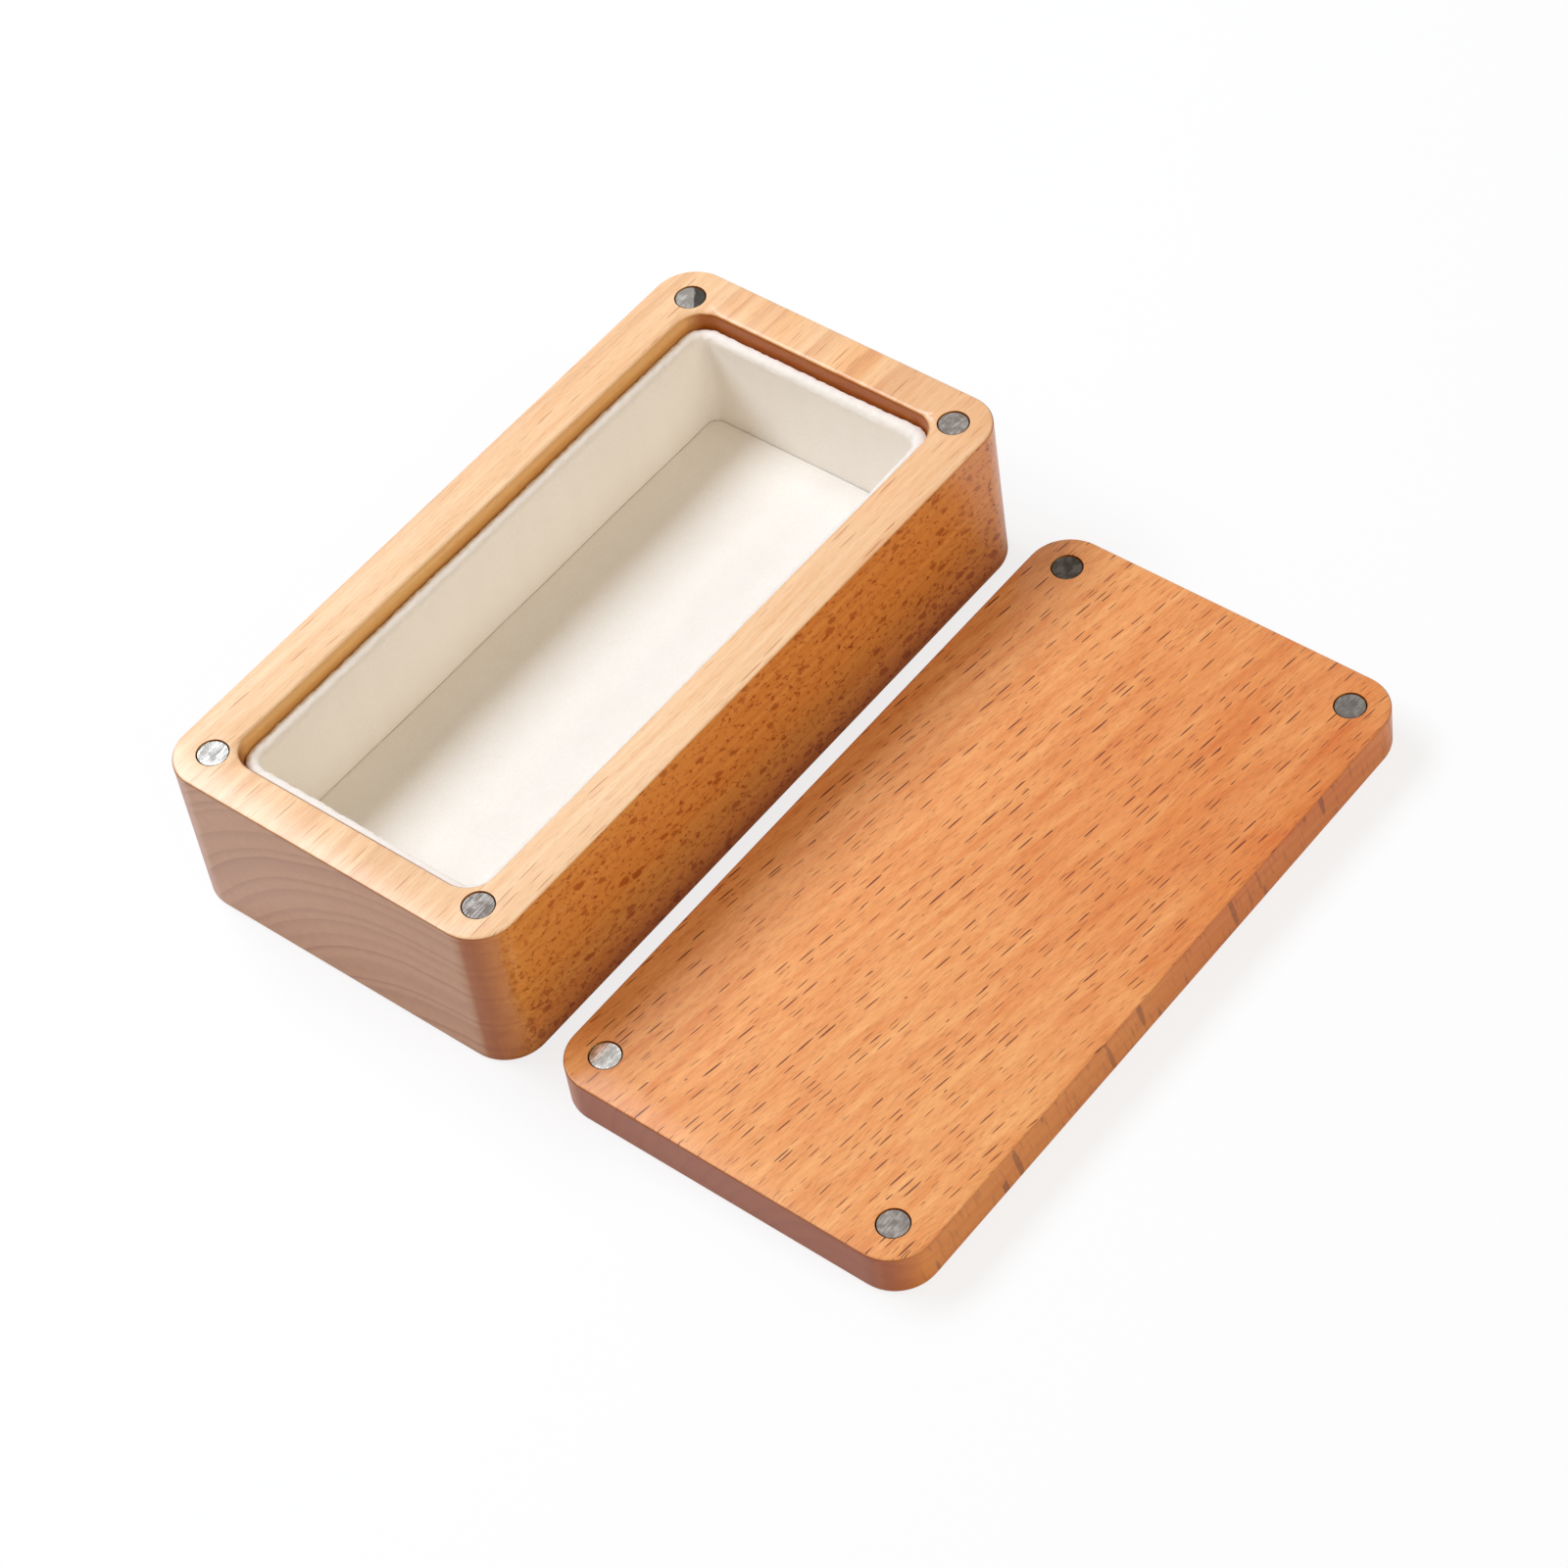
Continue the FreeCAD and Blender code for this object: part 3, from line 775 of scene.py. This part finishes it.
@dataclass
class VelvetLining:
    """Five panels of velvet wrapped over card: four walls, mitred at the corners, and the floor.

    Each panel is one closed sheet of velvet that goes over the card's front and edges and turns in behind it.
    """

    velvet: CottonVelvet
    board: GreyBoard
    velvet_thick: float = 0.75
    turn_in: float = 8.0
    rim_round: float = 1.2
    corner_bend: float = 5.3
    pad_corner: float = 2.2
    pad_round: float = 0.25
    station: float = 0.6
    swell: float = 0.24
    swell_size: float = 26.0
    fuzz: float = 0.2
    fuzz_size: float = 0.9
    face_fuzz: float = 0.12
    rim_puff: float = 0.45
    mitre_close: float = 0.068
    pad_puff: float = 0.33
    calm: float = 5.0
    hem: float = 0.5
    least_drop: float = 0.1
    least_corner: float = 0.12
    pad_fold: float = 0.5
    pad_middle: float = 0.4
    pad_station: float = 1.2
    pad_steps: int = 6
    rim_steps: int = 7
    puff_reach: float = 3.0
    least_puff: float = 0.5

    def __post_init__(self) -> None:
        """Reads the tray's sizes from the parts."""
        low, high = (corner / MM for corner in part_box("floor_cover"))
        self.panel = high.z - low.z
        self.base = low.z
        self.pad_half = (high.x, high.y)
        self.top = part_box("back_wall_cover")[1].z / MM

    def build(self) -> None:
        """Makes the five covers and dresses the cards inside them."""
        cloth = self.velvet.material()
        for wall in Wall:
            self._finish(self._wall_cover(wall), f"{wall.label}_wall", cloth, self._wall_cut(wall))
        self._finish(self._floor_cover(), "floor", cloth, self._floor_cut())
        card = self.board.material()
        for name in sorted(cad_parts):
            if name.endswith("_card"):
                dress(name, card)

    def _finish(self, cover: Piece, panel: str, cloth: Material, cut: Flat) -> None:
        """Dresses a cover, puts it in its solid's place and logs the cut of its cloth.

        Args:
            cover: The cover's mesh.
            panel: The panel's name.
            cloth: The velvet.
            cut: The sheet's flat width and length, in millimetres.
        """
        cover.data.materials.append(cloth)
        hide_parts(f"{panel}_cover")
        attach(cover, BOX_BODY)
        LOG.info("%s: sheet of %.0f x %.0f mm", cover.name, *cut)

    def _half_flat(self, wall: Wall) -> float:
        """Half of a wall panel's flat stretch, between its bends."""
        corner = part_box(f"{wall.label}_wall_cover")[1] / MM
        return (corner.y if wall.turns % 2 else corner.x) - self.corner_bend * math.sqrt(0.5)

    def _wall_cut(self, wall: Wall) -> Flat:
        """The flat width and length that a wall's velvet is cut to."""
        height = self.top - self.base + self.panel + self.turn_in
        return height, 2 * (self._half_flat(wall) + self.corner_bend + self.turn_in)

    def _floor_cut(self) -> Flat:
        """The flat width and length that the floor's velvet is cut to."""
        wrap = 2 * (self.panel + self.turn_in)
        return 2 * self.pad_half[1] + wrap, 2 * self.pad_half[0] + wrap

    def _soften(self, place: Vector, fuzz_share: float, swell_share: float = 1.0) -> float:
        """How far the pile stands proud of the panel's true face at a place.

        Args:
            place: The place, in millimetres.
            fuzz_share: 1 where the pile opens over an edge, less on a face.
            swell_share: 1 on a wall, and -1 on the pad's edge, which gives way where the wall swells.

        Returns:
            The distance, in millimetres.
        """
        soft = noise.noise(place / self.swell_size) * self.swell * swell_share
        return soft + noise.noise(place / self.fuzz_size) * self.fuzz * fuzz_share

    @staticmethod
    def _quarter(steps: int) -> list[float]:
        """Angles from 0 to a quarter turn."""
        return [0.5 * math.pi * i / steps for i in range(steps + 1)]

    def _wall_section(self, turn_in: float) -> list[tuple[float, float, float, float]]:
        """A wall panel's outline from the foot of its front over the rim and down its back.

        Args:
            turn_in: How far the velvet comes down the back.

        Returns:
            Depth from the panel's back, height, and the outward direction in both, at each point.
        """
        bend = self.rim_round
        shoulder = self.top - bend
        rows = 40
        front = [(self.panel, self.base + (shoulder - self.base) * i / rows, 1.0, 0.0) for i in range(rows)]
        angles = self._quarter(self.rim_steps)
        over = [
            (self.panel - bend + bend * math.cos(a), shoulder + bend * math.sin(a), math.cos(a), math.sin(a))
            for a in angles
        ]
        behind = [
            (bend - bend * math.sin(a), shoulder + bend * math.cos(a), -math.sin(a), math.cos(a))
            for a in angles
        ]
        drop = max(turn_in - bend, self.least_drop)
        back_rows = 10
        back = [(0.0, shoulder - drop * i / back_rows, -1.0, 0.0) for i in range(1, back_rows + 1)]
        return front + over + behind + back

    def _drop(self, to_end: float) -> float:
        """How far the velvet comes down a wall panel's back: a turn-in, and all the way at the panel's ends.

        Args:
            to_end: Distance to the bend at the panel's end.

        Returns:
            The distance down from the rim.
        """
        ease = min(to_end / self.turn_in, 1.0)
        whole = self.top - self.base - self.hem
        return whole + (self.turn_in - whole) * ease * ease * (3 - 2 * ease)

    def _wall_cover(self, wall: Wall) -> Piece:
        """Sweeps a wall panel's outline along its plan, bent into the corner at each end.

        Args:
            wall: The wall.

        Returns:
            The cover's mesh.
        """
        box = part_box(f"{wall.label}_wall_cover")
        reach = max(abs(box[0].x), abs(box[1].x)) if wall.turns % 2 else max(abs(box[0].y), abs(box[1].y))
        reach /= MM
        half = self._half_flat(wall) + self.mitre_close
        last_angle = math.radians(45)
        flat_count = round(2 * half / self.station)
        bend_count = round(last_angle * self.corner_bend / self.station) + 1
        stations = [(-half, last_angle * (1 - i / bend_count)) for i in range(bend_count)]
        stations += [(-half + 2 * half * i / flat_count, 0.0) for i in range(flat_count + 1)]
        stations += [(half, -last_angle * (i + 1) / bend_count) for i in range(bend_count)]
        turn = Quaternion((0, 0, 1), math.radians(90 * wall.turns))

        def bent(along: float, angle: float, depth: float, height: float) -> Vector:
            """A point of the bent panel, from its place along the wall and depth from the panel's back."""
            radius = self.corner_bend - depth
            return turn @ Vector((
                along - radius * math.sin(angle), reach - self.corner_bend + radius * math.cos(angle), height,
            ))

        points: list[Vector] = []
        for along, angle in stations:
            outline = self._wall_section(self._drop(half - abs(along)))
            outer, inner = [], []
            for depth, height, out_depth, out_height in outline:
                proud = 0.0
                # The pile is pressed flat where the panel's back is glued to the wood.
                if out_depth > -math.sqrt(0.5):
                    to_rim = (height - self.top) / (self.puff_reach * self.rim_round) + 1
                    near_rim = min(max(to_rim, 0.0), 1.0)
                    share = self.face_fuzz + (1 - self.face_fuzz) * near_rim
                    proud = self._soften(bent(along, angle, depth, height), share)
                    proud += self.rim_puff * near_rim * near_rim * max(out_height, self.least_puff)
                for row, rise in ((outer, proud), (inner, proud - self.velvet_thick)):
                    row.append(bent(along, angle, depth + out_depth * rise, height + out_height * rise))
            points += outer + inner[::-1]
        size = 2 * len(outline)
        faces = [
            (s * size + i, s * size + (i + 1) % size, (s + 1) * size + (i + 1) % size, (s + 1) * size + i)
            for s in range(len(stations) - 1) for i in range(size)
        ]
        half_size = size // 2
        for s, flip in ((0, False), (len(stations) - 1, True)):
            for i in range(half_size - 1):
                quad = (s * size + i, s * size + size - 1 - i, s * size + size - 2 - i, s * size + i + 1)
                faces.append(quad[::-1] if flip else quad)
        return new_mesh(f"{wall.label}_wall_velvet", points, faces)

    def _ring(self, inset: float, corner: float) -> list[tuple[float, float]]:
        """Points round the floor pad's outline.

        Args:
            inset: How far in from the outline.
            corner: The corners' radius there.

        Returns:
            The points, as many for every inset.
        """
        x_half, y_half = self.pad_half[0] - inset, self.pad_half[1] - inset
        sides = (2 * self.pad_half[0], 2 * self.pad_half[1])
        ring = []
        for quarter in range(4):
            along = sides[(quarter + 1) % 2]
            x_sign, y_sign = ((1, -1), (1, 1), (-1, 1), (-1, -1))[quarter]
            centre = Vector((x_sign * (x_half - corner), y_sign * (y_half - corner)))
            start = math.radians(-90 + 90 * quarter)
            arc = [
                centre + Vector((math.cos(start + a), math.sin(start + a))) * corner
                for a in self._quarter(self.pad_steps)
            ]
            ring += [tuple(point) for point in arc]
            length = 2 * ((y_half if quarter % 2 == 0 else x_half) - corner)
            direction = Vector((math.cos(start + math.pi), math.sin(start + math.pi)))
            count = max(round(along / self.pad_station), 2)
            ring += [tuple(arc[-1] + direction * (length * i / count)) for i in range(1, count)]
        return ring

    def _outward(self, x: float, y: float) -> Vector:
        """The level direction out of the pad, at a place by its edge."""
        past = [max(abs(at) - half + self.pad_corner, 0.0) for at, half in zip((x, y), self.pad_half)]
        return Vector((math.copysign(past[0], x), math.copysign(past[1], y), 0.0)).normalized()

    def _pad_outline(self) -> list[tuple[float, float, float, float]]:
        """The pad's section from its middle over the edge and in beneath.

        Returns:
            Inset, height, and the outward direction (away from the middle, up) at each point.
        """
        top = self.base + self.panel
        middle = self.pad_half[1] - self.pad_middle
        rows = 24
        face = [(middle + (self.pad_round - middle) * i / rows, top, 0.0, 1.0) for i in range(rows)]
        angles = self._quarter(self.pad_steps)
        bend = self.pad_round
        edge = [
            (bend - bend * math.sin(a), top - bend + bend * math.cos(a), math.sin(a), math.cos(a))
            for a in angles
        ]
        fold = self.pad_fold
        under = [
            (fold - fold * math.cos(a), self.base + fold - fold * math.sin(a), math.cos(a), -math.sin(a))
            for a in angles
        ]
        back_rows = 8
        reach = (self.turn_in - fold) / back_rows
        back = [(fold + reach * i, self.base, 0.0, -1.0) for i in range(1, back_rows + 1)]
        return face + edge + under + back

    def _floor_cover(self) -> Piece:
        """Lays rings of the pad's outline from its middle over the edge to the hem beneath, and back inside.

        Returns:
            The cover's mesh.
        """
        outline = self._pad_outline()
        rings: list[list[Vector]] = []
        for inside in (False, True):
            for inset, height, out_side, out_up in (outline[::-1] if inside else outline):
                thick = self.velvet_thick if inside else 0.0
                depth = inset + out_side * thick
                corner = max(self.pad_corner - depth, self.least_corner)
                ring = []
                for x, y in self._ring(depth, corner):
                    place = Vector((x, y, height - out_up * thick))
                    if out_up >= 0:
                        to_rest = min(inset - self.pad_round, outline[0][0] - inset)
                        free = min(max(to_rest / self.calm, 0.0), 1.0)
                        rise = self._soften(place, self.face_fuzz * free, free)
                        spread = self._soften(place, 0.0, -1.0) + self.pad_puff
                        place += self._outward(x, y) * (out_side * spread)
                        place.z += rise * out_up
                    ring.append(place)
                rings.append(ring)
        points = [point for ring in rings for point in ring]
        size = len(rings[0])
        faces = [
            (r * size + i, (r + 1) * size + i, (r + 1) * size + (i + 1) % size, r * size + (i + 1) % size)
            for r in range(len(rings) - 1) for i in range(size)
        ]
        faces.append(tuple(range(size)))
        last = (len(rings) - 1) * size
        faces.append(tuple(last + size - 1 - i for i in range(size)))
        return new_mesh("floor_velvet", points, faces)


@dataclass(frozen=True)
class Softbox:
    """A soft lamp that faces the box: turn is from +X towards +Y, and rise above the table, in degrees."""

    name: str
    turn: float
    rise: float
    away: float
    width: float
    height: float
    power: float
    colour: str = "#FFFFFF"

    def hang(self, target: Vector) -> None:
        """Adds the lamp to the scene.

        Args:
            target: The place that it faces, in millimetres.
        """
        lamp = bpy.data.lights.new(self.name, "AREA")
        lamp.shape = "RECTANGLE"
        lamp.size = self.width * MM
        lamp.size_y = self.height * MM
        lamp.energy = self.power
        lamp.color = linear(self.colour)[:3]
        turn, rise = math.radians(self.turn), math.radians(self.rise)
        towards = Vector((math.cos(turn) * math.cos(rise), math.sin(turn) * math.cos(rise), math.sin(rise)))
        holder = bpy.data.objects.new(self.name, lamp)
        holder.location = (target + towards * self.away) * MM
        holder.rotation_mode = "QUATERNION"
        holder.rotation_quaternion = towards.to_track_quat("Z", "Y")
        bpy.context.scene.collection.objects.link(holder)


@dataclass
class Studio:
    """White table, soft light from behind, a weaker one in front, and the camera."""

    eye: Point = (-380.0, -435.1, 643.5)
    target: Point = (-7.2, -48.0, 17.5)
    roll: float = -10.08
    lens: float = 106.87
    sensor: float = 36.0
    table_half: float = 4000.0
    table_drop: float = 0.05
    table_glow: float = 0.8
    table_nook: float = 25.0
    table_nook_fall: float = 3.0
    table_white: str = "#F7F7F7"
    table_bounce: str = "#DADADA"
    table_shine: float = 0.7
    ambient: float = 0.32
    room: str = "#FFF0DA"
    key: Softbox = Softbox(
        "key", turn=99.0, rise=51.0, away=1200.0, width=960.0, height=480.0, power=15.7, colour="#E4EEFF",
    )
    fill: Softbox = Softbox(
        "fill", turn=268.0, rise=34.0, away=1500.0, width=1300.0, height=700.0, power=7.2, colour="#FFF7EA",
    )

    def build(self) -> None:
        """Sets the table, the light and the camera."""
        bpy.context.scene.view_settings.view_transform = "Standard"
        self._table()
        self._surround()
        for softbox in (self.key, self.fill):
            softbox.hang(Vector(self.target))
        self._camera()

    def _table(self) -> None:
        """A white table that shows white to the eye and keeps the box's shadow."""
        half = self.table_half
        corners = [(x * half, y * half, -self.table_drop) for x, y in ((-1, -1), (1, -1), (1, 1), (-1, 1))]
        table = new_mesh("table", corners, [(0, 1, 2, 3)])
        material, shader = new_material("white table, matt laminate")
        tree = material.node_tree
        # The table lights the sides of the box a little less than its white would, as in the picture.
        path = add_node(tree, "LightPath", {})
        surface = add_node(
            tree, "Mix",
            {0: path.outputs["Is Diffuse Ray"], 6: linear(self.table_white), 7: linear(self.table_bounce)},
            data_type="RGBA",
        )
        set_inputs(tree, shader, {
            "Base Color": surface, "Roughness": 0.9, "Specular IOR Level": 0.0,
        })
        glow = add_node(tree, "Emission", {"Color": (1, 1, 1, 1), "Strength": 1.0})
        nook = add_node(tree, "AmbientOcclusion", {"Distance": self.table_nook * MM})
        bare = add_node(tree, "Math", {0: nook.outputs["AO"], 1: self.table_nook_fall}, operation="POWER")
        shine = add_node(tree, "Math", {0: bare, 1: self.table_shine}, operation="MULTIPLY")
        share = add_node(tree, "Math", {0: self._seen(tree, shine), 1: self.table_glow}, operation="MULTIPLY")
        mixed = add_node(tree, "MixShader", {0: share, 1: shader, 2: glow})
        set_inputs(tree, tree.nodes["Material Output"], {"Surface": mixed})
        table.data.materials.append(material)

    def _seen(self, tree: Tree, mirrored: Node | float) -> Node:
        """Tells the rays that look from the rays that light.

        Args:
            tree: The tree to work in.
            mirrored: The share for a ray from a polished face, which is less in a dark nook.

        Returns:
            1 for a ray from the eye or through glass, the given share for a mirrored one, and 0 for the rest.
        """
        path = add_node(tree, "LightPath", {})
        glossy = add_node(tree, "Math", {0: path.outputs["Is Glossy Ray"], 1: mirrored}, operation="MULTIPLY")
        direct = add_node(
            tree, "Math", {0: path.outputs["Is Camera Ray"], 1: path.outputs["Is Transmission Ray"]},
            operation="MAXIMUM",
        )
        return add_node(tree, "Math", {0: direct, 1: glossy}, operation="MAXIMUM")

    def _surround(self) -> None:
        """White all round to the eye, and an even light."""
        world = bpy.data.worlds.new("white room")
        world.use_nodes = True
        bpy.context.scene.world = world
        tree = world.node_tree
        strength = add_node(
            tree, "MapRange", {"Value": self._seen(tree, 1.0), **limits("To", (self.ambient, 1.0))},
        )
        tint = add_node(
            tree, "Mix", {0: self._seen(tree, 1.0), 6: linear(self.room), 7: (1, 1, 1, 1)}, data_type="RGBA",
        )
        set_inputs(tree, tree.nodes["Background"], {"Color": tint, "Strength": strength})

    def _camera(self) -> None:
        """Looks down at the open box and the lid from the near left."""
        data = bpy.data.cameras.new("camera")
        data.lens, data.sensor_width = self.lens, self.sensor
        data.clip_start, data.clip_end = 0.01, 50.0
        camera = bpy.data.objects.new("camera", data)
        eye, target = Vector(self.eye) * MM, Vector(self.target) * MM
        camera.location = eye
        camera.rotation_mode = "QUATERNION"
        level = (target - eye).to_track_quat("-Z", "Y")
        camera.rotation_quaternion = level @ Quaternion((0, 0, 1), math.radians(self.roll))
        bpy.context.scene.collection.objects.link(camera)
        bpy.context.scene.camera = camera


BOX_BEECH = BeechFinish(
    name="box beech, oiled",
    flat=CutLook("#F2C799", ring=0.30, fleck=0.50, fibre=0.16),
    # The sides' colour is partly painted shade: darker and more saturated than the top's.
    rift=CutLook("#E39A4B", ring=0.30, fleck=1.0, fibre=0.18),
    end=CutLook("#C78F66", ring=0.60, fleck=0.10, fibre=0.10),
    late_wood="#C08A64",
    ray="#B26E1C",
    patch="#FFEDD8",
    patch_place=(75.0, -5.0),
    patch_reach=70.0,
    origin=(0.0, 0.0, 0.0),
    grain_turn=-1.0,
    grain_dip=0.6,
    pith=(-30.0, -43.0),
    ring_width=3.3,
    flat_rays=RayShape(
        pitch=(7.0, 1.7, 4.0), half=(2.2, 0.14, 1.2), slant=0.0, jag=0.5, scatter=1.0,
        strength=(0.5, 1.0), speckle=0.5,
    ),
    side_rays=RayShape(
        pitch=(3.4, 0.8, 1.7), half=(1.1, 0.22, 0.6), slant=-24.0, jag=1.3, scatter=1.0,
        strength=(0.4, 0.7), speckle=0.9,
    ),
    seed=3.0,
)

LID_BEECH = BeechFinish(
    name="lid beech, oiled",
    flat=CutLook("#ECA05E", ring=0.22, fleck=1.0, fibre=0.26),
    rift=CutLook("#E68F3E", ring=0.25, fleck=0.9, fibre=0.12),
    end=CutLook("#A65422", ring=0.40, fleck=0.10, fibre=0.06),
    late_wood="#E2A27C",
    ray="#7E5E44",
    patch="#EFCDA6",
    patch_place=(52.0, -24.0),
    patch_reach=62.0,
    origin=(0.0, -86.4, 0.0),
    grain_turn=-7.0,
    grain_dip=7.0,
    pith=(-34.0, -18.0),
    ring_width=3.6,
    flat_rays=RayShape(
        pitch=(4.6, 1.35, 9.0), half=(1.6, 0.125, 6.0), slant=20.0, jag=0.2, scatter=0.8,
        strength=(0.6, 1.0), speckle=0.4,
    ),
    side_rays=RayShape(
        pitch=(4.4, 1.0, 10.0), half=(0.55, 0.5, 5.5), slant=20.0, jag=0.35, scatter=1.0,
        strength=(0.3, 0.7), speckle=0.3,
    ),
    seed=8.0,
)

# Each disc's plate tone is painted reflection, standing in for what that disc mirrors.
RIM_WEAR_AND_REFLECTION = {
    "back_left": PlateWearAndReflection.BRIGHT,
    "back_right": PlateWearAndReflection.STAINED,
    "front_left": PlateWearAndReflection.RUBBED,
    "front_right": PlateWearAndReflection.RUBBED,
}

LID_WEAR_AND_REFLECTION = {
    "front_left": PlateWearAndReflection.BRIGHT,
    "front_right": PlateWearAndReflection.DARK,
    "back_left": PlateWearAndReflection.RUBBED,
    "back_right": PlateWearAndReflection.DULL,
}


def main() -> None:
    """Builds each sub-assembly in order."""
    logging.basicConfig(level=logging.INFO, format="%(name)s: %(message)s")
    BeechPart("box_body", Slot.BOX_BEECH, BOX_BEECH).build()
    BeechPart("lid_board", Slot.LID_BEECH, LID_BEECH).build()
    Magnets(RIM_WEAR_AND_REFLECTION, LID_WEAR_AND_REFLECTION).build()
    VelvetLining(CottonVelvet(), GreyBoard()).build()
    Studio().build()


if __name__ == "__main__":
    main()
